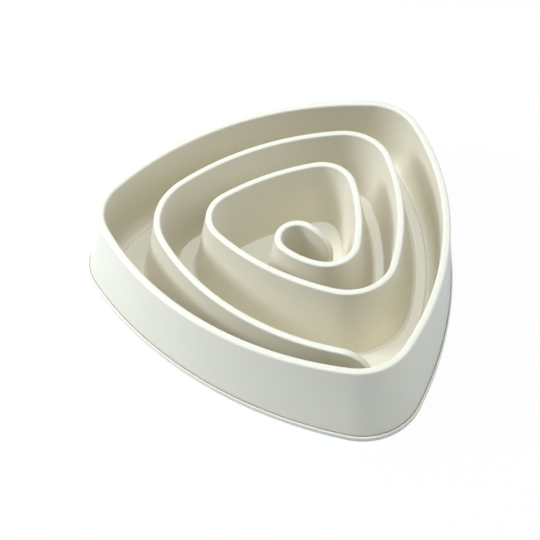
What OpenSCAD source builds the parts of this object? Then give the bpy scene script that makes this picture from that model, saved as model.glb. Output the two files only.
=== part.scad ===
// Slow feeder bowl: a rounded-triangle bowl with a removable spiral maze on its floor.
// Units are millimetres, +Z is up and the bowl stands on z = 0.
// Corners of the plan point to 90, 210 and 330 degrees.

/* [Rim] */
// Height of the rim above the table
bowl_h = 51.4; // [44:0.1:64]
// Distance from the middle of the plan to a corner of the rim
rim_reach = 120; // [110:0.5:124]
// Radius of the bulged sides at the rim
rim_side_r = 197; // [180:1:240]
// Radius of the corners at the rim
rim_corner_r = 34; // [26:0.5:42]
// Thickness of the wall at the rim
rim_t = 4.7; // [3.6:0.1:5.4]
// Rounding of both edges of the rim
rim_edge_r = 1.4; // [0.8:0.1:1.8]

/* [Skirt] */
// How much further out than the rim the foot lies at a corner
skirt_flare = 11.8; // [8:0.1:18]
// How much further out it lies at the middle of a side
side_flare = 5.0; // [3.4:0.1:7]
// Radius of the corners at the foot
foot_corner_r = 37; // [30:0.5:44]
// Thickness of the outer skirt
skirt_t = 2.0; // [1.6:0.1:2.6]
// Height up to which the skirt and the inner wall stand apart
hollow_h = 36; // [24:1:38]

/* [Inner bowl] */
// Thickness of the inner wall
wall_t = 2.0; // [1.6:0.1:2.6]
// Inward lean of the inner wall from the rim to the cove
wall_lean = 0.1; // [0:0.1:1.5]
// Width of the cove between the inner wall and the floor
cove_w = 6.0; // [4:0.2:6.4]
// Height of that cove
cove_h = 12; // [6:0.5:16]
// Thickness of the floor under the maze
floor_t = 2.2; // [1.6:0.1:3]
// Clearance between the floor and the table
floor_gap = 1.0; // [0.6:0.1:2]

/* [Maze] */
// Thickness of the plate that carries the spiral wall
plate_t = 1.4; // [1:0.1:2.2]
// How far the plate stands above the edge of the cove
plate_proud = 0.2; // [0.1:0.05:0.5]
// Thickness of the spiral wall at its top
maze_t = 4.2; // [3:0.1:5]
// Rounding of both edges of the spiral wall's top
maze_edge_r = 1.1; // [0.6:0.1:1.4]
// How far the spiral wall stays below the rim
maze_drop = 0.0; // [0:0.5:8]
// Outward lean of the spiral wall's convex face
convex_lean = 9.0; // [2:0.2:9.6]
// Inward lean of the spiral wall's concave face
concave_lean = 5.4; // [0.6:0.1:6]
// Fillet at the foot of the spiral wall's convex face
foot_fillet = 1.6; // [1:0.2:2.6]
// Fillet at the foot of its concave face
inner_fillet = 0.4; // [0.2:0.1:1.2]
// Radius of the rounded upper corner at both ends of the spiral wall
end_r = 17; // [10:1:22]

/* [Base ring] */
// Height of the visible lip of the non-slip ring
ring_lip_h = 4.0; // [2.8:0.1:5]
// Thickness of the ring under the skirt
ring_floor_t = 1.6; // [1:0.1:2]
// How far the ring stands proud of the skirt
ring_proud = 1.0; // [0.8:0.1:2]
// Width of the lip inside the skirt
ring_inner_w = 2.2; // [1.6:0.1:3]
// Rounding of the ring's outer lower edge
ring_edge_r = 0.8; // [0.4:0.1:1.4]
// Clearance of each part that drops into another
fit_gap = 0.3; // [0.2:0.05:0.4]

/* [Hidden] */

// Steps in one corner arc and one side arc of an outline
CORNER_STEPS = 10;
SIDE_STEPS = 16;
// Steps in one rounded edge and one cove
EDGE_STEPS = 2;
COVE_STEPS = 5;
// Steps in one turn of the spiral and in the quarter round at its ends
TURN_STEPS = 10;
END_STEPS = 6;

// Start of the spiral wall's crest near the front right corner, and its first heading
spiral_start_share = [0.608, -0.540];
spiral_heading = -159;
// Radii of the spiral's turns in order, a bulged side first and then corner and side in turn
turn_radius_shares = [1.31, 0.325, 1.425, 0.235, 1.39, 0.24, 1.235, 0.175, 1.27, 0.16,
                      1.125, 0.155, 0.38, 0.097];
// Share of both leans that is left at the ends of the wall
end_lean_share = 0.05;
// Share of the convex lean where each turn starts, and at the end of the last. It is small
// where the first turn starts, close to the plate's edge, and where the inner turn needs room
turn_lean_shares = [0.05, 1, 1, 1, 1, 1, 1, 1, 1, 1, 1, 0.9, 0.45, 0.6, 1.15];
// Degrees that each turn goes round, clockwise seen from above
turn_sweeps = [47.5, 76, 37, 80, 30.5, 90.5, 32, 95.5, 23.5, 91, 21.5, 95, 30, 168];
// Straight run of full height before the outer end drops, as a share of that drop
outer_lead_share = 0.3;

rim = [rim_reach, rim_side_r, rim_corner_r];
foot_reach = rim_reach + skirt_flare;
foot_side_r = side_radius(foot_reach, side_reach(rim) + side_flare, foot_corner_r);
foot = [foot_reach, foot_side_r, foot_corner_r];

maze_top = bowl_h - maze_drop;
recess_z = floor_gap + floor_t;
plate_top = recess_z + plate_t;
cove_z = plate_top - plate_proud;
wall_foot_inset = rim_t + wall_lean;
plate_inset = wall_foot_inset + cove_w;
crest_h = maze_top - plate_top;

// How far the centre of a side arc lies behind the middle of the plan
function side_back(o) =
    (-(o[0] - o[2]) + sqrt(4 * pow(o[1] - o[2], 2) - 3 * pow(o[0] - o[2], 2))) / 2;
function side_reach(o) = o[1] - side_back(o);
// Radius of the side arcs that reach so far between corners of the given reach and radius
function side_radius(reach, side, r) =
    let (c = reach - r)
    (c * c - c * side + side * side - r * r) / (2 * side - 2 * r - c);
// Half the angle of a corner arc
function corner_half(o) =
    atan2(side_back(o) * sin(60), o[0] - o[2] + side_back(o) * cos(60));

// Points of a rounded triangle, set in by the given distance, counter-clockwise from a corner
function outline(o, inset) =
    let (half = corner_half(o), corner = o[0] - o[2], back = side_back(o))
    [for (k = [0 : 2])
        let (turn = 90 + 120 * k)
        each concat(
            [for (i = [0 : CORNER_STEPS - 1])
                let (a = turn - half + 2 * half * i / CORNER_STEPS)
                corner * [cos(turn), sin(turn)] + (o[2] - inset) * [cos(a), sin(a)]],
            [for (i = [0 : SIDE_STEPS - 1])
                let (a = turn + half + (120 - 2 * half) * i / SIDE_STEPS)
                (o[1] - inset) * [cos(a), sin(a)] - back * [cos(turn + 60), sin(turn + 60)]])];

// A ring of points at height z: share 0 follows the foot and share 1 the rim
function ring(share, inset, z) =
    let (low = outline(foot, inset), high = outline(rim, inset))
    [for (i = [0 : len(low) - 1])
        let (p = low[i] * (1 - share) + high[i] * share)
        [p[0], p[1], z]];

// Share of the way from the skirt's edge up to the rim's rounding
function skirt_share(z) = (z - ring_floor_t) / (bowl_h - rim_edge_r - ring_floor_t);

// The plan's box is not centred on its middle, so every node moves by this much
plan_shift = (side_reach(foot) - foot_reach) / 2;

// Triangles between each ring and the next, of n points each, for the given number of bands
function band_faces(n, rows, bands) =
    [for (r = [0 : bands - 1], i = [0 : n - 1])
        let (j = (i + 1) % n, next = (r + 1) % rows)
        each [[r * n + i, next * n + i, r * n + j], [r * n + j, next * n + i, next * n + j]]];

// Closes a stack of rings, first to last, with a flat fan at both ends
module lofted_stack(rings) {
    n = len(rings[0]);
    rows = len(rings);
    points = [for (r = rings) each r];
    first = [for (i = [0 : n - 1]) i];
    last = [for (i = [n - 1 : -1 : 0]) (rows - 1) * n + i];
    polyhedron(points, concat(band_faces(n, rows, rows - 1), [first, last]));
}

// Closes a hoop: its rings are the section's points in order, and the last joins the first
module lofted_hoop(rings) {
    n = len(rings[0]);
    rows = len(rings);
    polyhedron([for (r = rings) each r], band_faces(n, rows, rows));
}

// Rings of the shell in order: underside, hollow, skirt, rim, inner wall, cove and recess
function shell_rings() = concat(
    [for (i = [0 : COVE_STEPS])
        let (a = 90 * i / COVE_STEPS)
        ring(1, plate_inset - (cove_w + wall_t) * sin(a),
             floor_gap + (cove_h + cove_z - floor_gap) * (1 - cos(a)))],
    [ring(1, rim_t - wall_t, hollow_h),
     ring(skirt_share(hollow_h), skirt_t, hollow_h),
     ring(0, skirt_t, ring_floor_t),
     ring(0, 0, ring_floor_t)],
    [for (i = [0 : EDGE_STEPS])
        let (a = 90 * i / EDGE_STEPS)
        ring(1, rim_edge_r * (1 - cos(a)), bowl_h - rim_edge_r * (1 - sin(a)))],
    [for (i = [0 : EDGE_STEPS])
        let (a = 90 * i / EDGE_STEPS)
        ring(1, rim_t - rim_edge_r * (1 - sin(a)), bowl_h - rim_edge_r * (1 - cos(a)))],
    [for (i = [0 : COVE_STEPS])
        let (a = 90 * i / COVE_STEPS)
        ring(1, wall_foot_inset + cove_w * (1 - cos(a)), cove_z + cove_h * (1 - sin(a)))],
    [ring(1, plate_inset, recess_z)]);

// Bowl with its hollow skirt, moulded in one piece
module bowl_shell() {
    color("ivory")
        translate([0, plan_shift, 0])
            lofted_stack(shell_rings());
}

// Radius of turn number i of the spiral, and where it starts: x, y and heading
function turn_radius(i) = rim_reach * turn_radius_shares[i];
function turn_centre(from, r) = [from[0] + r * sin(from[2]), from[1] - r * cos(from[2])];
function turn_start(i) =
    i == 0 ? [rim_reach * spiral_start_share[0], rim_reach * spiral_start_share[1], spiral_heading]
    : let (from = turn_start(i - 1), r = turn_radius(i - 1),
           heading = from[2] - turn_sweeps[i - 1], centre = turn_centre(from, r))
      [centre[0] - r * sin(heading), centre[1] + r * cos(heading), heading];

// Distance from a point of the plan to the edge of the plate, positive inside it
function plate_room(p) =
    let (half = corner_half(rim), back = side_back(rim), arm = rim[0] - rim[2])
    min([for (k = [0 : 2])
        let (turn = 90 + 120 * k,
             side = rim[1] - norm(p + back * [cos(turn + 60), sin(turn + 60)]),
             q = p - arm * [cos(turn), sin(turn)],
             off = abs(((atan2(q[1], q[0]) - turn) % 360 + 540) % 360 - 180))
        off < half ? min(side, rim[2] - norm(q)) : side]) - plate_inset - fit_gap;

// Section of the spiral wall at a height: x is the distance outwards from the crest line.
// Where the wall runs out over the cove, the foot of its convex face keeps clear of the cove
function maze_section(h, in_share, out_share, room) =
    let (half = maze_t / 2,
         out = half + convex_lean * out_share, out_fillet = foot_fillet * out_share,
         in = half + concave_lean * in_share)
    concat(
        [for (i = [0 : EDGE_STEPS])
            let (a = 90 * i / EDGE_STEPS, z = foot_fillet * (1 - cos(a)),
                 cove = cove_w * sqrt(1 - pow(1 - min(z / cove_h, 1), 2)))
            [min(out + out_fillet * (1 - sin(a)), room + cove), z]],
        [for (i = [0 : EDGE_STEPS])
            let (a = 90 * i / EDGE_STEPS)
            [half - maze_edge_r * (1 - cos(a)), h - maze_edge_r * (1 - sin(a))]],
        [for (i = [EDGE_STEPS : -1 : 0])
            let (a = 90 * i / EDGE_STEPS)
            [-half + maze_edge_r * (1 - cos(a)), h - maze_edge_r * (1 - sin(a))]],
        [[-in, inner_fillet], [-in - inner_fillet * in_share, 0]]);

// Stations along the wall: x, y, heading, height of the crest and shares of both leans
function faded(share, t) = end_lean_share + (share - end_lean_share) * t;
function turn_stations(i) =
    let (from = turn_start(i), r = turn_radius(i), centre = turn_centre(from, r),
         steps = max(TURN_STEPS, ceil(turn_sweeps[i] / TURN_STEPS)))
    [for (k = [0 : steps - 1])
        let (t = k / steps, heading = from[2] - turn_sweeps[i] * t)
        [centre[0] - r * sin(heading), centre[1] + r * cos(heading), heading, crest_h,
         1, turn_lean_shares[i] * (1 - t) + turn_lean_shares[i + 1] * t]];

// Straight run beyond a turn, whose crest falls away in a quarter round after the lead
function end_stations(place, side, lead, out_share) =
    [for (k = [0 : END_STEPS])
        let (a = 90 * k / END_STEPS, run = side * end_r * (lead + sin(a)))
        [place[0] + run * cos(place[2]), place[1] + run * sin(place[2]), place[2],
         crest_h - end_r * (1 - cos(a)), faded(1, cos(a)), faded(out_share, cos(a))]];

function reversed(v) = [for (i = [len(v) - 1 : -1 : 0]) v[i]];
function wall_stations() = concat(
    reversed(end_stations(turn_start(0), -1, outer_lead_share, turn_lean_shares[0])),
    [for (i = [0 : len(turn_sweeps) - 1]) each turn_stations(i)],
    end_stations(turn_start(len(turn_sweeps)), 1, 0, turn_lean_shares[len(turn_sweeps)]));

// Flat plate on the floor of the bowl, which carries the spiral wall
module maze_plate() {
    color("ivory")
        translate([0, plan_shift, recess_z])
            linear_extrude(plate_t)
                polygon(outline(rim, plate_inset + fit_gap));
}

// Spiral wall, moulded onto the plate: its section carried from station to station
module spiral_wall() {
    color("ivory")
        translate([0, plan_shift, plate_top])
            lofted_stack([
                for (s = wall_stations())
                    [for (p = maze_section(s[3], s[4], s[5], plate_room([s[0], s[1]])))
                        [s[0] - p[0] * sin(s[2]), s[1] + p[0] * cos(s[2]), p[1]]]]);
}

// Section of the ring, a hoop of rings: outer face, lip, channel that follows the skirt, inner lip
function hoop_rings() =
    let (lip = skirt_share(ring_lip_h), channel_in = skirt_t + fit_gap)
    concat(
        [for (i = [0 : EDGE_STEPS])
            let (a = 90 * i / EDGE_STEPS)
            ring(0, ring_edge_r * (1 - sin(a)) - ring_proud, ring_edge_r * (1 - cos(a)))],
        [ring(0, -ring_proud, ring_lip_h),
         ring(lip, -fit_gap, ring_lip_h),
         ring(0, -fit_gap, ring_floor_t),
         ring(0, channel_in, ring_floor_t),
         ring(lip, channel_in, ring_lip_h),
         ring(lip, channel_in + ring_inner_w, ring_lip_h),
         ring(0, channel_in + ring_inner_w, 0)]);

// Soft ring with a channel that grips the lower edge of the skirt
module base_ring() {
    color("ivory")
        translate([0, plan_shift, 0])
            lofted_hoop(hoop_rings());
}

bowl_shell();
maze_plate();
spiral_wall();
base_ring();
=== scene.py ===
"""Slow feeder bowl: an ivory rounded-triangle bowl with a spiral maze, in a plain studio.

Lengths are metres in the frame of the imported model: +Z is up, the bowl stands on z = 0 and the
corners of its plan point to 90, 210 and 330 degrees.
"""
import logging
import math
from dataclasses import dataclass
from enum import Enum

import bpy
import numpy as np
from mathutils import Matrix, Vector


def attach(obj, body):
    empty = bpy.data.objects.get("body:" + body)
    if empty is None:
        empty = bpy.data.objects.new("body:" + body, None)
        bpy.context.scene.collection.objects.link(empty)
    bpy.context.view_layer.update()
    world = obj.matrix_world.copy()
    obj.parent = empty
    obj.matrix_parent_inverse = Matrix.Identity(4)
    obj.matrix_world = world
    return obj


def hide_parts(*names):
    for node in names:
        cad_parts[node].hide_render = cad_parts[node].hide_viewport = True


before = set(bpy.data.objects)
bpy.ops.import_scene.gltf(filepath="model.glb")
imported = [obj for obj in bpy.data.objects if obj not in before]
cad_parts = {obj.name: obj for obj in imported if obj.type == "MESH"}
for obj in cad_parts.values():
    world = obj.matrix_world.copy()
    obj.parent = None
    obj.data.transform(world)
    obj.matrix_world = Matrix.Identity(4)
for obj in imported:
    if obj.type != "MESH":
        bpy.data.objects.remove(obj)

LOG = logging.getLogger("slow_feeder")
MM = 0.001
BODY = "root"
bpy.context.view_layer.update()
# Directions of the plan's three corners, and the angle from a corner to the next side
CORNER_TURNS = np.radians([90.0, 210.0, 330.0])
SIDE_TURN = math.pi / 3
# How far inside its edge a flat face becomes a fan to its middle
FAN_MARGIN = 1 * MM


def quarter(steps: int) -> np.ndarray:
    """Angles of a quarter turn.

    Args:
        steps: number of equal steps.

    Returns:
        steps + 1 angles from 0 to a right angle, in radians.
    """
    return np.linspace(0.0, math.pi / 2, steps + 1)


@dataclass(frozen=True)
class RoundedTriangle:
    """Plan outline of three bulged sides and three corner arcs, all tangent.

    Attributes:
        reach: distance from the middle of the plan to a corner.
        side_r: radius of the bulged sides.
        corner_r: radius of the corners.
    """

    reach: float
    side_r: float
    corner_r: float

    @classmethod
    def spanning(cls, reach: float, side_reach: float, corner_r: float) -> "RoundedTriangle":
        """Outline whose sides bulge to a given distance from the middle.

        With the arm c from the middle to a corner's centre, the side s and the corner radius r, the
        side radius is (c c - c s + s s - r r) / (2 s - 2 r - c).

        Args:
            reach: distance from the middle of the plan to a corner.
            side_reach: distance from the middle of the plan to the middle of a side.
            corner_r: radius of the corners.

        Returns:
            The outline.
        """
        arm = reach - corner_r
        square = arm ** 2 - arm * side_reach + side_reach ** 2 - corner_r ** 2
        return cls(reach, square / (2 * side_reach - 2 * corner_r - arm), corner_r)

    @property
    def arm(self) -> float:
        """Distance from the middle of the plan to a corner arc's centre."""
        return self.reach - self.corner_r

    @property
    def side_back(self) -> float:
        """Distance of a side arc's centre behind the middle, from the law of cosines."""
        gap = self.side_r - self.corner_r
        return (math.sqrt(4 * gap ** 2 - 3 * self.arm ** 2) - self.arm) / 2

    @property
    def side_reach(self) -> float:
        """Distance from the middle of the plan to the middle of a side."""
        return self.side_r - self.side_back

    @property
    def half_corner(self) -> float:
        """Half of a corner arc's angle, up to the line from the side's centre to the corner's."""
        return math.atan2(self.side_back * math.sin(SIDE_TURN),
                          self.arm + self.side_back * math.cos(SIDE_TURN))

    def arcs(self, corner_steps: int, side_steps: int) -> tuple[np.ndarray, np.ndarray, np.ndarray]:
        """Arc centres, radii and directions of every column, counter-clockwise from a corner.

        Args:
            corner_steps: columns on each corner arc.
            side_steps: columns on each side arc.

        Returns:
            Centres (columns, 2), radii (columns,) and unit directions (columns, 2).
        """
        half, turns = self.half_corner, CORNER_TURNS[:, None]
        on_corner = np.linspace(-half, half, corner_steps, endpoint=False)
        on_side = np.linspace(half, 2 * SIDE_TURN - half, side_steps, endpoint=False)
        angles = (turns + np.concatenate([on_corner, on_side])[None, :]).ravel()
        corner = np.arange(corner_steps + side_steps) < corner_steps
        radii = np.tile(np.where(corner, self.corner_r, self.side_r), len(CORNER_TURNS))
        away = np.where(corner[None, :], turns, turns + SIDE_TURN)
        offset = np.where(corner, self.arm, -self.side_back)
        centres = np.stack([np.cos(away) * offset, np.sin(away) * offset], axis=-1).reshape(-1, 2)
        return centres, radii, np.stack([np.cos(angles), np.sin(angles)], axis=-1)


@dataclass(frozen=True)
class BowlPlan:
    """Outlines of the foot and the rim, and the rings of points between them.

    Attributes:
        rim: outline of the rim.
        skirt_flare: how far the foot lies outside the rim at a corner.
        side_flare: how far the foot lies outside the rim at the middle of a side.
        foot_corner_r: radius of the foot's corners.
        corner_steps: columns on each corner arc.
        side_steps: columns on each side arc.
    """

    rim: RoundedTriangle = RoundedTriangle(120 * MM, 197 * MM, 34 * MM)
    skirt_flare: float = 11.8 * MM
    side_flare: float = 5.0 * MM
    foot_corner_r: float = 37 * MM
    corner_steps: int = 60
    side_steps: int = 80

    @property
    def foot(self) -> RoundedTriangle:
        """Outline of the skirt's edge, which flares out from the rim."""
        return RoundedTriangle.spanning(self.rim.reach + self.skirt_flare,
                                        self.rim.side_reach + self.side_flare, self.foot_corner_r)

    @property
    def shift(self) -> float:
        """How far the middle of the plan lies towards +Y, so that its box is centred."""
        return (self.foot.side_reach - self.foot.reach) / 2

    def rings(self, share: np.ndarray, inset: np.ndarray, height: np.ndarray) -> np.ndarray:
        """Rings of points: arc centre plus (radius - inset) times direction, foot to rim blended.

        Args:
            share: 0 follows the foot's outline and 1 the rim's, one value a row.
            inset: distance inside that outline, one value a row.
            height: height above the table, one value a row.

        Returns:
            Points (rows, columns, 3).
        """
        share, inset, height = np.broadcast_arrays(*np.atleast_1d(share, inset, height))
        outlines = []
        for outline in (self.foot, self.rim):
            centres, radii, ways = outline.arcs(self.corner_steps, self.side_steps)
            outlines.append(centres + (radii - inset[:, None])[..., None] * ways)
        blend = share[:, None, None]
        flat = outlines[0] * (1 - blend) + outlines[1] * blend
        flat[..., 1] += self.shift
        tall = np.broadcast_to(height[:, None, None], flat.shape[:2] + (1,))
        return np.concatenate([flat, tall], axis=-1)


class Ends(Enum):
    """How a stack of rings is closed at its first and last ring."""

    POLES = "a fan to the middle of each end ring"
    LOOP = "the last ring joins the first"


def build_mesh(name: str, rings: np.ndarray, ends: Ends) -> bpy.types.Object:
    """Join a stack of closed rings into one smooth, closed mesh.

    Face (r, c) joins points c and c + 1 of ring r to those of ring r + 1, with column numbers
    taken modulo the ring. Faces point to the left of the walk from the first ring to the last.

    Args:
        name: object name.
        rings: points (rows, columns, 3).
        ends: how the first and last ring are closed.

    Returns:
        The new object, at the origin.
    """
    rows, columns = rings.shape[:2]
    points = rings.reshape(-1, 3)
    last_row = rows if ends is Ends.LOOP else rows - 1
    r, c = np.meshgrid(np.arange(last_row), np.arange(columns), indexing="ij")
    beside, above = (c + 1) % columns, (r + 1) % rows
    quads = np.stack([r * columns + c, above * columns + c,
                      above * columns + beside, r * columns + beside], axis=-1).reshape(-1, 4)
    triangles = np.empty((0, 3), int)
    if ends is Ends.POLES:
        low, high = len(points), len(points) + 1
        points = np.vstack([points, rings[0].mean(axis=0), rings[-1].mean(axis=0)])
        one = np.arange(columns)
        two = (one + 1) % columns
        top = (rows - 1) * columns
        triangles = np.vstack([
            np.stack([one, two, np.full(columns, low)], axis=-1),
            np.stack([top + two, top + one, np.full(columns, high)], axis=-1)])
    mesh = bpy.data.meshes.new(name)
    mesh.vertices.add(len(points))
    mesh.vertices.foreach_set("co", points.astype(np.float32).ravel())
    corners = np.concatenate([quads.ravel(), triangles.ravel()])
    totals = np.concatenate([np.full(len(quads), 4), np.full(len(triangles), 3)])
    starts = np.concatenate([[0], np.cumsum(totals)[:-1]])
    mesh.loops.add(len(corners))
    mesh.loops.foreach_set("vertex_index", corners.astype(np.int32))
    mesh.polygons.add(len(totals))
    mesh.polygons.foreach_set("loop_start", starts.astype(np.int32))
    mesh.polygons.foreach_set("use_smooth", np.ones(len(totals), bool))
    mesh.update(calc_edges=True)
    mesh.validate()
    piece = bpy.data.objects.new(name, mesh)
    bpy.context.scene.collection.objects.link(piece)
    return piece


def linear(code: str) -> tuple[float, float, float, float]:
    """Turn an sRGB hex colour into linear light.

    By the sRGB curve, a value v is v / 12.92 up to 0.04045, and above that (v + 0.055) / 1.055 to
    the power 2.4.

    Args:
        code: six hex digits after a hash.

    Returns:
        Linear red, green, blue and an alpha of one.
    """
    values = np.array([int(code[i:i + 2], 16) / 255 for i in (1, 3, 5)])
    light = np.where(values <= 0.04045, values / 12.92, ((values + 0.055) / 1.055) ** 2.4)
    return (*map(float, light), 1.0)


def add_node(tree: bpy.types.NodeTree, kind: str, settings: dict | None = None,
             **inputs: object) -> bpy.types.Node:
    """Add a node, set its properties, and set or link its inputs.

    Args:
        tree: node tree that gets the node.
        kind: node type name.
        settings: properties of the node.
        inputs: input name with spaces as underscores, or an underscore and the input's place, to a
            value or an output socket.

    Returns:
        The new node.
    """
    node = tree.nodes.new(kind)
    for key, value in (settings or {}).items():
        setattr(node, key, value)
    for key, value in inputs.items():
        place = key[1:]
        socket = node.inputs[int(place)] if place.isdigit() else node.inputs[key.replace("_", " ")]
        if isinstance(value, bpy.types.NodeSocket):
            tree.links.new(value, socket)
        else:
            socket.default_value = value
    return node


@dataclass(frozen=True)
class MouldedFinish:
    """Surface of a moulded piece: faint clouds of tone and a fine mould texture.

    Attributes:
        name: material name.
        pale: colour of most of the surface, sRGB hex.
        deep: colour of the faint clouds, sRGB hex.
        roughness: lowest and highest roughness, which follow the clouds.
        cloud_mm: size of the clouds.
        grain_mm: size of the mould texture.
        grain_depth_mm: depth of the mould texture.
        glow: share of light that goes under the surface.
        glow_mm: how far that light goes.
        glow_reach: shares of that distance for red, green and blue.
        cloud_span: part of the clouds' range that moves the roughness.
        cloud_noise: how the clouds are broken up.
        grain_noise: how the mould texture is broken up.
        bump_share: strength of the mould texture.
        ior: refractive index, that of polypropylene.
    """

    name: str
    pale: str
    deep: str
    roughness: tuple[float, float]
    cloud_mm: float
    grain_mm: float
    grain_depth_mm: float
    glow: float
    glow_mm: float = 3.0
    glow_reach: tuple[float, float, float] = (1.0, 0.8, 0.5)
    cloud_span: tuple[float, float] = (0.3, 0.7)
    cloud_noise: tuple[tuple[str, float], ...] = (("Detail", 4.0), ("Roughness", 0.55))
    grain_noise: tuple[tuple[str, float], ...] = (("Detail", 2.0), ("Roughness", 0.6))
    bump_share: float = 0.5
    ior: float = 1.49

    def build(self) -> bpy.types.Material:
        """Make the material.

        Returns:
            A Principled material whose patterns read Object coordinates.
        """
        material = bpy.data.materials.new(self.name)
        material.use_nodes = True
        tree = material.node_tree
        tree.nodes.clear()
        place = add_node(tree, "ShaderNodeTexCoord").outputs["Object"]
        clouds = add_node(tree, "ShaderNodeTexNoise", Vector=place, Scale=1 / (self.cloud_mm * MM),
                          **dict(self.cloud_noise))
        # Inputs 0, 6 and 7 of a colour mix are its factor and its two colours
        tone = add_node(tree, "ShaderNodeMix", {"data_type": "RGBA"}, _0=clouds.outputs["Fac"],
                        _6=linear(self.pale), _7=linear(self.deep))
        grain = add_node(tree, "ShaderNodeTexNoise", Vector=place, Scale=1 / (self.grain_mm * MM),
                         **dict(self.grain_noise))
        rough = add_node(tree, "ShaderNodeMapRange", Value=clouds.outputs["Fac"],
                         From_Min=self.cloud_span[0], From_Max=self.cloud_span[1],
                         To_Min=self.roughness[0], To_Max=self.roughness[1])
        bump = add_node(tree, "ShaderNodeBump", Strength=self.bump_share,
                        Distance=self.grain_depth_mm * MM, Height=grain.outputs["Fac"])
        shader = add_node(tree, "ShaderNodeBsdfPrincipled", Base_Color=tone.outputs["Result"],
                          Roughness=rough.outputs["Result"], IOR=self.ior,
                          Normal=bump.outputs["Normal"], Subsurface_Weight=self.glow,
                          Subsurface_Scale=self.glow_mm * MM, Subsurface_Radius=self.glow_reach)
        add_node(tree, "ShaderNodeOutputMaterial", Surface=shader.outputs["BSDF"])
        return material


@dataclass(frozen=True)
class MouldedPlastic(MouldedFinish):
    """Injection-moulded polypropylene in ivory, from a finely textured steel mould.

    The real one is slightly translucent, so light goes a few millimetres in and comes out warm.
    Its gloss is satin: a fine mould texture of about 0.4 mm, which is drawn at 0.8 mm so that it
    shows, blurs reflections, and the flow of the melt leaves very faint cloudy tone.
    """

    name: str = "moulded_polypropylene_ivory"
    pale: str = "#E8E1CC"
    deep: str = "#E4DCC4"
    roughness: tuple[float, float] = (0.36, 0.44)
    cloud_mm: float = 38.0
    grain_mm: float = 0.8
    grain_depth_mm: float = 0.012
    glow: float = 0.12


@dataclass(frozen=True)
class MouldedElastomer(MouldedFinish):
    """Moulded thermoplastic elastomer in off-white, from a spark-eroded mould.

    It is soft to the touch and matt: its grain of about 0.5 mm, drawn at 1 mm so that it shows,
    scatters nearly every reflection, so the ring looks a shade paler than the bowl.
    """

    name: str = "moulded_elastomer_off_white"
    pale: str = "#EDE7D6"
    deep: str = "#E5DFCC"
    roughness: tuple[float, float] = (0.58, 0.7)
    cloud_mm: float = 16.0
    grain_mm: float = 1.0
    grain_depth_mm: float = 0.03
    glow: float = 0.05


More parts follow.
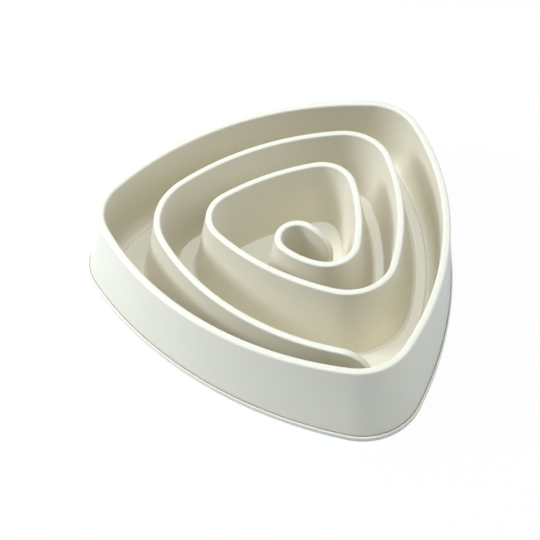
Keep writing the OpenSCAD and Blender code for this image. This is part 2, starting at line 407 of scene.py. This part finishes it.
@dataclass
class BowlShell:
    """Bowl of one moulding: rim, inner wall, cove and floor, and a hollow flared skirt.

    Attributes:
        plan: outlines of the foot and the rim.
        height: height of the rim above the table.
        rim_t: thickness of the rim.
        rim_edge_r: radius of the rim's two edges.
        skirt_t: thickness of the skirt.
        hollow_h: height of the hollow between the skirt and the inner wall.
        wall_t: thickness of the inner wall.
        wall_lean: how far the inner wall leans in from the rim to the cove.
        cove_w: width of the cove.
        cove_h: height of the cove.
        floor_t: thickness of the floor.
        floor_gap: clearance under the floor.
        plate_t: thickness of the maze's plate.
        plate_proud: how far the plate stands above the cove's edge.
        skirt_foot: height of the skirt's edge, which stands in the ring's channel.
        skirt_bevel: bevel along that edge.
        web_edge: width and two drops of the soft edges at the top of the hollow.
        recess_edge: drop of the soft edge of the recess's floor.
        wall_rows: steps of a straight wall.
        steps: steps of a quarter round.
    """

    plan: BowlPlan
    height: float = 51.4 * MM
    rim_t: float = 4.7 * MM
    rim_edge_r: float = 1.4 * MM
    skirt_t: float = 2.0 * MM
    hollow_h: float = 36 * MM
    wall_t: float = 2.0 * MM
    wall_lean: float = 0.1 * MM
    cove_w: float = 6.0 * MM
    cove_h: float = 12.0 * MM
    floor_t: float = 2.2 * MM
    floor_gap: float = 1.0 * MM
    plate_t: float = 1.4 * MM
    plate_proud: float = 0.2 * MM
    skirt_foot: float = 1.6 * MM
    skirt_bevel: float = 0.3 * MM
    web_edge: tuple[float, float, float] = (0.15 * MM, 0.2 * MM, 0.8 * MM)
    recess_edge: float = 0.1 * MM
    wall_rows: int = 16
    steps: int = 8

    @property
    def recess_z(self) -> float:
        """Height of the floor under the maze."""
        return self.floor_gap + self.floor_t

    @property
    def cove_z(self) -> float:
        """Height of the edge where the cove meets the floor."""
        return self.recess_z + self.plate_t - self.plate_proud

    @property
    def wall_foot_inset(self) -> float:
        """Inset of the inner wall where the cove begins."""
        return self.rim_t + self.wall_lean

    @property
    def plate_inset(self) -> float:
        """Inset of the recess that takes the maze's plate."""
        return self.wall_foot_inset + self.cove_w

    def profile(self) -> np.ndarray:
        """Profile from the middle of the underside, out and over the rim, to the middle again.

        Quarter rounds are r (1 - sin a) and r (1 - cos a) for a from 0 to a right angle, and the
        cove is such a round stretched to its own width and height.

        Returns:
            Rows of share, inset and height.
        """
        a = quarter(self.steps)
        one = np.ones_like(a)
        rise, run = 1 - np.cos(a), 1 - np.sin(a)
        walls = np.linspace(0.0, 1.0, self.wall_rows + 1)[1:-1, None]
        edge, bevel, foot, skirt = self.rim_edge_r, self.skirt_bevel, self.skirt_foot, self.skirt_t
        outside = self.rim_t - self.wall_t
        edge_z = self.height - edge
        cove_top = self.cove_z + self.cove_h
        skirt_span = edge_z - foot
        roof, (soft_w, soft_h, soft_foot) = self.hollow_h, self.web_edge
        hollow_share = (roof - foot) / skirt_span
        hollow = np.array([
            [1, outside, roof - soft_foot],
            [1, outside - soft_w, roof - soft_h],
            [(1 + hollow_share) / 2, (outside + skirt) / 2, roof],
            [hollow_share, skirt + soft_w, roof - soft_h],
            [hollow_share, skirt, roof - soft_foot],
            [0, skirt, foot + bevel],
            [0, skirt - bevel, foot],
            [0, bevel, foot],
            [0, 0, foot + bevel]])
        return np.vstack([
            [1, self.plate_inset + FAN_MARGIN, self.floor_gap],
            np.stack([one, self.plate_inset - (self.cove_w + self.wall_t) * np.sin(a),
                      self.floor_gap + (cove_top - self.floor_gap) * rise], 1),
            hollow,
            np.hstack([walls, 0 * walls, foot + skirt_span * walls]),
            np.stack([one, edge * rise, self.height - edge * run], 1),
            np.stack([one, self.rim_t - edge * run, self.height - edge * rise], 1),
            np.hstack([1 + 0 * walls, self.rim_t + self.wall_lean * walls,
                       edge_z + (cove_top - edge_z) * walls]),
            np.stack([one, self.wall_foot_inset + self.cove_w * rise,
                      self.cove_z + self.cove_h * run], 1),
            [1, self.plate_inset, self.recess_z + self.recess_edge],
            [1, self.plate_inset + FAN_MARGIN, self.recess_z]])

    def build(self) -> bpy.types.Object:
        """Build the bowl.

        Returns:
            The bowl's object, which replaces its CAD node.
        """
        share, inset, height = self.profile().T
        return build_mesh("bowl_body", self.plan.rings(share, inset, height), Ends.POLES)


@dataclass
class SpiralMaze:
    """Plate on the bowl's floor and the long spiral wall moulded onto it.

    Attributes:
        shell: bowl that the maze stands in.
        fit_gap: clearance between the wall's foot and the cove.
        seam: gap between the plate and the bowl.
        plate_edge_r: radius of the plate's edges.
        wall_t: thickness of the wall at its crest.
        edge_r: radius of the crest's edges.
        convex_lean: how far the convex face leans out from crest to foot.
        concave_lean: how far the concave face leans out from crest to foot.
        foot_fillet: fillet at the convex foot.
        inner_fillet: fillet at the concave foot.
        end_r: radius of the quarter round at each end.
        start_share: start of the first arc as shares of the rim's reach.
        heading: direction of the first arc's start, degrees.
        radius_shares: radii of the arcs as shares of the rim's reach.
        sweeps: angles of the arcs, degrees.
        lean_shares: shares of the convex lean at the arcs' joints.
        outer_lead_share: straight length before the outer drop, as a share of its radius.
        end_lean_share: share of both leans at the very ends.
        face_shares: heights on the faces where points lie.
        step: distance between stations along the crest.
        least_steps: least number of stations on an arc.
        end_steps: steps of the quarter round at each end.
        steps: steps of the section's quarter rounds.
    """

    shell: BowlShell
    fit_gap: float = 0.3 * MM
    seam: float = 0.06 * MM
    plate_edge_r: float = 0.2 * MM
    wall_t: float = 4.2 * MM
    edge_r: float = 1.1 * MM
    convex_lean: float = 9.0 * MM
    concave_lean: float = 5.4 * MM
    foot_fillet: float = 1.6 * MM
    inner_fillet: float = 0.4 * MM
    end_r: float = 17 * MM
    start_share: tuple[float, float] = (0.608, -0.540)
    heading: float = -159.0
    radius_shares: tuple[float, ...] = (1.31, 0.325, 1.425, 0.235, 1.39, 0.24, 1.235, 0.175, 1.27,
                                        0.16, 1.125, 0.155, 0.38, 0.097)
    sweeps: tuple[float, ...] = (47.5, 76, 37, 80, 30.5, 90.5, 32, 95.5, 23.5, 91, 21.5, 95, 30,
                                 168)
    lean_shares: tuple[float, ...] = (0.05, 1, 1, 1, 1, 1, 1, 1, 1, 1, 1, 0.9, 0.45, 0.6, 1.15)
    outer_lead_share: float = 0.3
    end_lean_share: float = 0.05
    face_shares: tuple[float, ...] = (0.06, 0.15, 0.3, 0.5, 0.75)
    step: float = 0.8 * MM
    least_steps: int = 8
    end_steps: int = 14
    steps: int = 6

    @property
    def plate_top(self) -> float:
        """Height of the plate's top face, where the wall stands."""
        return self.shell.recess_z + self.shell.plate_t

    @property
    def crest_h(self) -> float:
        """Height of the crest over the plate, level with the rim."""
        return self.shell.height - self.plate_top

    def plate(self) -> bpy.types.Object:
        """Build the plate: a flat sheet with a small round along its upper and lower edges.

        Returns:
            The plate's object, which replaces its CAD node.
        """
        a = quarter(self.steps)
        rise, run = self.plate_edge_r * (1 - np.cos(a)), self.plate_edge_r * (1 - np.sin(a))
        inset = self.shell.plate_inset + self.seam
        low, high = self.shell.recess_z, self.plate_top
        rows = np.vstack([
            [inset + FAN_MARGIN, low],
            np.stack([inset + run, low + rise], 1),
            np.stack([inset + rise, high - run], 1),
            [inset + FAN_MARGIN, high]])
        rings = self.shell.plan.rings(np.ones(len(rows)), rows[:, 0], rows[:, 1])
        return build_mesh("maze_floor_plate", rings, Ends.POLES)

    def drop(self, x: float, y: float, heading: float, side: int, lead: float,
             convex: float) -> np.ndarray:
        """Straight run whose crest falls in a quarter round, while both leans fade.

        Args:
            x: place along X where an arc ends.
            y: place along Y where an arc ends.
            heading: direction of the walk there, radians.
            side: -1 behind the first arc, 1 ahead of the last one.
            lead: length at full height, as a share of the drop's radius.
            convex: share of the convex lean where the drop starts.

        Returns:
            Rows as the walk's own, from the arc outwards.
        """
        fall = quarter(self.end_steps)
        run = side * self.end_r * (lead + np.sin(fall))
        low = self.end_lean_share
        return np.stack([x + run * math.cos(heading), y + run * math.sin(heading),
                         np.full_like(run, heading), self.crest_h - self.end_r * (1 - np.cos(fall)),
                         low + (1 - low) * np.cos(fall), low + (convex - low) * np.cos(fall)], 1)

    def crest(self) -> np.ndarray:
        """Walk along the crest: a straight drop, fourteen arcs to the right, a straight drop.

        On an arc, the heading falls evenly and the place is the arc's centre plus the radius times
        the direction to the left of the heading, and the convex lean goes evenly from one share to
        the next.

        Returns:
            Rows of x, y, heading, height, concave lean share and convex lean share.
        """
        reach = self.shell.plan.rim.reach
        x, y = (share * reach for share in self.start_share)
        heading = math.radians(self.heading)
        outer = self.drop(x, y, heading, -1, self.outer_lead_share, self.lean_shares[0])
        walk = [outer[::-1]]
        for share, sweep, lean, next_lean in zip(self.radius_shares, self.sweeps,
                                                 self.lean_shares, self.lean_shares[1:]):
            radius, turn = share * reach, math.radians(sweep)
            centre = (x + radius * math.sin(heading), y - radius * math.cos(heading))
            count = max(self.least_steps, round(radius * turn / self.step))
            t = np.arange(count) / count
            headings = heading - turn * t
            walk.append(np.stack([centre[0] - radius * np.sin(headings),
                                  centre[1] + radius * np.cos(headings), headings,
                                  np.full(count, self.crest_h), np.ones(count),
                                  lean * (1 - t) + next_lean * t], 1))
            heading -= turn
            x = centre[0] - radius * math.sin(heading)
            y = centre[1] + radius * math.cos(heading)
        walk.append(self.drop(x, y, heading, 1, 0.0, self.lean_shares[-1]))
        return np.vstack(walk)

    def room(self, x: np.ndarray, y: np.ndarray) -> np.ndarray:
        """Distance from points of the plan to the edge of the plate, positive inside it.

        It is the least of the three side arcs' radius minus the distance from their centre, and
        within a corner's angle also of that corner's.

        Args:
            x: places along X, from the middle of the plan.
            y: places along Y, from the middle of the plan.

        Returns:
            One distance for each point.
        """
        rim, turns = self.shell.plan.rim, CORNER_TURNS[:, None]
        sides = rim.side_r - np.hypot(x + rim.side_back * np.cos(turns + SIDE_TURN),
                                      y + rim.side_back * np.sin(turns + SIDE_TURN))
        qx, qy = x - rim.arm * np.cos(turns), y - rim.arm * np.sin(turns)
        off = np.abs((np.arctan2(qy, qx) - turns + math.pi) % (2 * math.pi) - math.pi)
        corners = np.where(off < rim.half_corner, rim.corner_r - np.hypot(qx, qy), np.inf)
        return np.minimum(sides, corners).min(axis=0) - self.shell.plate_inset - self.fit_gap

    def section(self, height: np.ndarray, concave: np.ndarray, convex: np.ndarray,
                room: np.ndarray) -> np.ndarray:
        """Section of the wall at every station, from the convex foot over the crest to the other.

        Feet are quarter rounds of the fillets, the faces lean from foot to crest, and the crest's
        edges are quarter rounds of the edge radius. The convex face keeps clear of the cove, whose
        surface at height z lies width times sqrt(1 - (1 - z / height) squared) beyond the plate.

        Args:
            height: crest heights over the plate.
            concave: shares of the concave lean.
            convex: shares of the convex lean.
            room: distances from the crest line to the plate's edge.

        Returns:
            Offsets to the left of the heading and heights, (stations, points, 2).
        """
        a, half, edge, fillet = quarter(self.steps), self.wall_t / 2, self.edge_r, self.foot_fillet
        rise, run = 1 - np.cos(a), 1 - np.sin(a)
        h, v, w = height[:, None], concave[:, None], convex[:, None]
        between = np.array(self.face_shares)
        flat = np.zeros((len(height), 1))
        outer_x = np.hstack([half + (self.convex_lean + fillet * run) * w,
                             half + self.convex_lean * w * (1 - between)])
        outer_z = np.hstack([flat + fillet * rise, fillet + (h - edge - fillet) * between])
        low = np.clip(outer_z / self.shell.cove_h, 0, 1)
        cove = self.shell.cove_w * np.sqrt(1 - (1 - low) ** 2)
        outer_x = np.minimum(outer_x, room[:, None] + cove)
        inner_x = np.hstack([half + self.concave_lean * v + self.inner_fillet * v * run,
                             half + self.concave_lean * v * (1 - between)])
        inner_z = np.hstack([flat + self.inner_fillet * rise,
                             self.inner_fillet + (h - edge - self.inner_fillet) * between])
        round_x = flat + half - edge * rise
        round_z = h - edge * run
        offsets = [outer_x, round_x, -round_x[:, ::-1], -inner_x[:, ::-1]]
        heights = [outer_z, round_z, round_z[:, ::-1], inner_z[:, ::-1]]
        return np.stack([np.concatenate(offsets, axis=1), np.concatenate(heights, axis=1)], axis=-1)

    def wall(self) -> bpy.types.Object:
        """Build the wall: its section carried along the crest line.

        Returns:
            The wall's object, which replaces its CAD node.
        """
        x, y, heading, height, concave, convex = self.crest().T
        section = self.section(height, concave, convex, self.room(x, y))
        left = section[..., 0]
        points = np.stack([x[:, None] - left * np.sin(heading)[:, None],
                           y[:, None] + left * np.cos(heading)[:, None] + self.shell.plan.shift,
                           section[..., 1] + self.plate_top], axis=-1)
        return build_mesh("maze_spiral_wall", points, Ends.POLES)


@dataclass
class BaseRing:
    """Soft ring whose channel grips the lower edge of the skirt.

    Attributes:
        shell: bowl that the ring grips.
        lip_h: height of the ring.
        floor_t: thickness under the skirt.
        proud: how far the ring stands out from the skirt.
        inner_w: width of the inner lip.
        fit_gap: clearance on both sides of the skirt.
        foot_r: radius of the outer lower edge.
        edge_r: radius of the other edges.
        steps: steps of a quarter round.
    """

    shell: BowlShell
    lip_h: float = 4.0 * MM
    floor_t: float = 1.6 * MM
    proud: float = 1.0 * MM
    inner_w: float = 2.2 * MM
    fit_gap: float = 0.3 * MM
    foot_r: float = 0.8 * MM
    edge_r: float = 0.25 * MM
    steps: int = 4

    def profile(self) -> np.ndarray:
        """Closed channel profile, which follows the skirt, with its corners rounded.

        Each corner becomes a quarter round between two points that lie its radius away from it
        along both sides. The outer lower corner has the foot's radius.

        Returns:
            Rows of share, inset and height, counter-clockwise in the plane of outward distance
            and height.
        """
        shell = self.shell
        lip = (self.lip_h - self.floor_t) / (shell.height - shell.rim_edge_r - self.floor_t)
        channel = shell.skirt_t + self.fit_gap
        inner = channel + self.inner_w
        corners = np.array([
            [lip, inner, self.lip_h], [0, inner, 0], [0, -self.proud, 0],
            [0, -self.proud, self.lip_h], [lip, -self.fit_gap, self.lip_h],
            [0, -self.fit_gap, self.floor_t], [0, channel, self.floor_t],
            [lip, channel, self.lip_h]])
        before = np.roll(corners, 1, axis=0) - corners
        after = np.roll(corners, -1, axis=0) - corners
        before /= np.hypot(before[:, 1], before[:, 2])[:, None]
        after /= np.hypot(after[:, 1], after[:, 2])[:, None]
        outer_foot = 2
        radius = np.full((len(corners), 1, 1), self.edge_r)
        radius[outer_foot] = self.foot_r
        a = quarter(self.steps)[None, :, None]
        arc = corners[:, None] + radius * (before[:, None] * (1 - np.sin(a))
                                           + after[:, None] * (1 - np.cos(a)))
        return arc.reshape(-1, 3)

    def build(self) -> bpy.types.Object:
        """Build the ring.

        Returns:
            The ring's object, which replaces its CAD node.
        """
        share, inset, height = self.profile().T
        return build_mesh("non_slip_ring", self.shell.plan.rings(share, inset, height), Ends.LOOP)


def towards(azimuth: float, elevation: float) -> Vector:
    """Direction from the bowl to a lamp or the camera.

    It is (sin az cos el, -cos az cos el, sin el).

    Args:
        azimuth: degrees from -Y towards +X.
        elevation: degrees above the table.

    Returns:
        A unit vector.
    """
    az, el = math.radians(azimuth), math.radians(elevation)
    return Vector((math.sin(az) * math.cos(el), -math.cos(az) * math.cos(el), math.sin(el)))


@dataclass(frozen=True)
class Softbox:
    """Square area lamp aimed at the bowl.

    Attributes:
        name: lamp name.
        azimuth: direction of the lamp from the bowl, degrees from -Y towards +X.
        elevation: degrees above the table.
        size: side of the lamp, metres.
        power: watts.
        distance: metres from the bowl.
    """

    name: str
    azimuth: float
    elevation: float
    size: float
    power: float
    distance: float = 1.6

    def build(self, tint: str) -> None:
        """Add the lamp.

        Args:
            tint: colour of its light, sRGB hex.
        """
        back = towards(self.azimuth, self.elevation)
        data = bpy.data.lights.new(self.name, "AREA")
        data.size, data.energy, data.color = self.size, self.power, linear(tint)[:3]
        lamp = bpy.data.objects.new(self.name, data)
        lamp.location = back * self.distance
        lamp.rotation_euler = back.to_track_quat("Z", "Y").to_euler()
        bpy.context.scene.collection.objects.link(lamp)


@dataclass(frozen=True)
class Studio:
    """Pale floor, white surroundings, soft lamps and the photograph's camera.

    Attributes:
        azimuth: camera's direction from the bowl, degrees from -Y towards +X.
        elevation: camera's height, degrees above the table.
        roll: camera's roll, degrees.
        distance: camera's distance.
        aside: camera's shift to its right and upwards.
        lens: focal length, mm.
        sensor: sensor width, mm.
        clip: nearest and farthest distance that the camera sees.
        tint: colour of the light, sRGB hex.
        ambient: strength of the even light.
        floor_side: half of the floor's side.
        paper: colour of the floor, sRGB hex.
        whiteness: share of plain white in what the camera sees of the floor.
        lamps: the soft lamps.
    """

    azimuth: float = 37.634
    elevation: float = 51.356
    roll: float = -1.942
    distance: float = 710.2 * MM
    aside: tuple[float, float] = (-14.74 * MM, 1.67 * MM)
    lens: float = 73.94
    sensor: float = 36.0
    clip: tuple[float, float] = (0.01, 50.0)
    tint: str = "#E6F0FF"
    ambient: float = 0.31
    floor_side: float = 6.0
    paper: str = "#E1E3E2"
    whiteness: float = 0.95
    lamps: tuple[Softbox, ...] = (Softbox("key_softbox", -55, 34, 0.4, 14.6),
                                  Softbox("left_softbox", -80, 45, 0.8, 9.4),
                                  Softbox("right_softbox", 130, 18, 0.8, 6.2),
                                  Softbox("top_softbox", 0, 89, 0.5, 12.8),
                                  Softbox("back_softbox", -142, 51, 0.4, 2.2))

    def camera(self, shift: float) -> None:
        """Set the camera at the photograph's angle.

        Args:
            shift: place of the middle of the plan along +Y.
        """
        az, roll = math.radians(self.azimuth), math.radians(self.roll)
        back = towards(self.azimuth, self.elevation)
        level = Vector((math.cos(az), math.sin(az), 0.0))
        upward = back.cross(level)
        place = level * self.aside[0] + upward * self.aside[1] + back * self.distance
        place.y += shift
        right = level * math.cos(roll) + upward * math.sin(roll)
        up = upward * math.cos(roll) - level * math.sin(roll)
        data = bpy.data.cameras.new("photo_camera")
        data.lens, data.sensor_width = self.lens, self.sensor
        data.clip_start, data.clip_end = self.clip
        camera = bpy.data.objects.new("photo_camera", data)
        camera.matrix_world = Matrix((right, up, back)).transposed().to_4x4()
        camera.location = place
        bpy.context.scene.collection.objects.link(camera)
        bpy.context.scene.camera = camera

    def surroundings(self) -> None:
        """Fill the world with even light that the camera sees as white."""
        world = bpy.data.worlds.new("studio")
        bpy.context.scene.world = world
        world.use_nodes = True
        tree = world.node_tree
        tree.nodes.clear()
        path = add_node(tree, "ShaderNodeLightPath")
        light = add_node(tree, "ShaderNodeBackground", Color=linear(self.tint),
                         Strength=self.ambient)
        white = add_node(tree, "ShaderNodeBackground", Color=(1, 1, 1, 1), Strength=1.0)
        mix = add_node(tree, "ShaderNodeMixShader", _0=path.outputs["Is Camera Ray"],
                       _1=light.outputs[0], _2=white.outputs[0])
        add_node(tree, "ShaderNodeOutputWorld", Surface=mix.outputs[0])

    def floor(self) -> None:
        """Lay the floor, which the camera sees as white with a trace of the bowl's shadow."""
        material = bpy.data.materials.new("studio_floor")
        material.use_nodes = True
        tree = material.node_tree
        tree.nodes.clear()
        path = add_node(tree, "ShaderNodeLightPath")
        paper = add_node(tree, "ShaderNodeBsdfDiffuse", Color=linear(self.paper))
        white = add_node(tree, "ShaderNodeEmission", Color=(1, 1, 1, 1), Strength=1.0)
        seen = add_node(tree, "ShaderNodeMixShader", _0=self.whiteness, _1=paper.outputs[0],
                        _2=white.outputs[0])
        mix = add_node(tree, "ShaderNodeMixShader", _0=path.outputs["Is Camera Ray"],
                       _1=paper.outputs[0], _2=seen.outputs[0])
        add_node(tree, "ShaderNodeOutputMaterial", Surface=mix.outputs[0])
        mesh = bpy.data.meshes.new("studio_floor")
        side = self.floor_side
        mesh.from_pydata([(-side, -side, 0), (side, -side, 0), (side, side, 0), (-side, side, 0)],
                         [], [(0, 1, 2, 3)])
        mesh.materials.append(material)
        floor = bpy.data.objects.new("studio_floor", mesh)
        bpy.context.scene.collection.objects.link(floor)

    def build(self, shift: float) -> None:
        """Set up the whole studio.

        Args:
            shift: place of the middle of the plan along +Y.
        """
        bpy.context.scene.view_settings.view_transform = "Standard"
        self.camera(shift)
        self.surroundings()
        self.floor()
        for lamp in self.lamps:
            lamp.build(self.tint)


def dress(piece: bpy.types.Object, node: str, material: bpy.types.Material) -> None:
    """Give a piece its material and say which CAD node it stands for.

    Args:
        piece: the finished piece.
        node: CAD node that it replaces.
        material: its finish.
    """
    piece.data.materials.append(material)
    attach(piece, BODY)
    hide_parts(node)
    LOG.info("%s: %d faces, stands for %s", piece.name, len(piece.data.polygons), node)


def main() -> None:
    """Build the bowl piece by piece, then the studio."""
    logging.basicConfig(level=logging.INFO, format="%(message)s")
    plan = BowlPlan()
    shell = BowlShell(plan)
    maze = SpiralMaze(shell)
    plastic = MouldedPlastic().build()
    dress(shell.build(), "bowl_shell", plastic)
    dress(maze.plate(), "maze_plate", plastic)
    dress(maze.wall(), "spiral_wall", plastic)
    dress(BaseRing(shell).build(), "base_ring", MouldedElastomer().build())
    Studio().build(plan.shift)


if __name__ == "__main__":
    main()
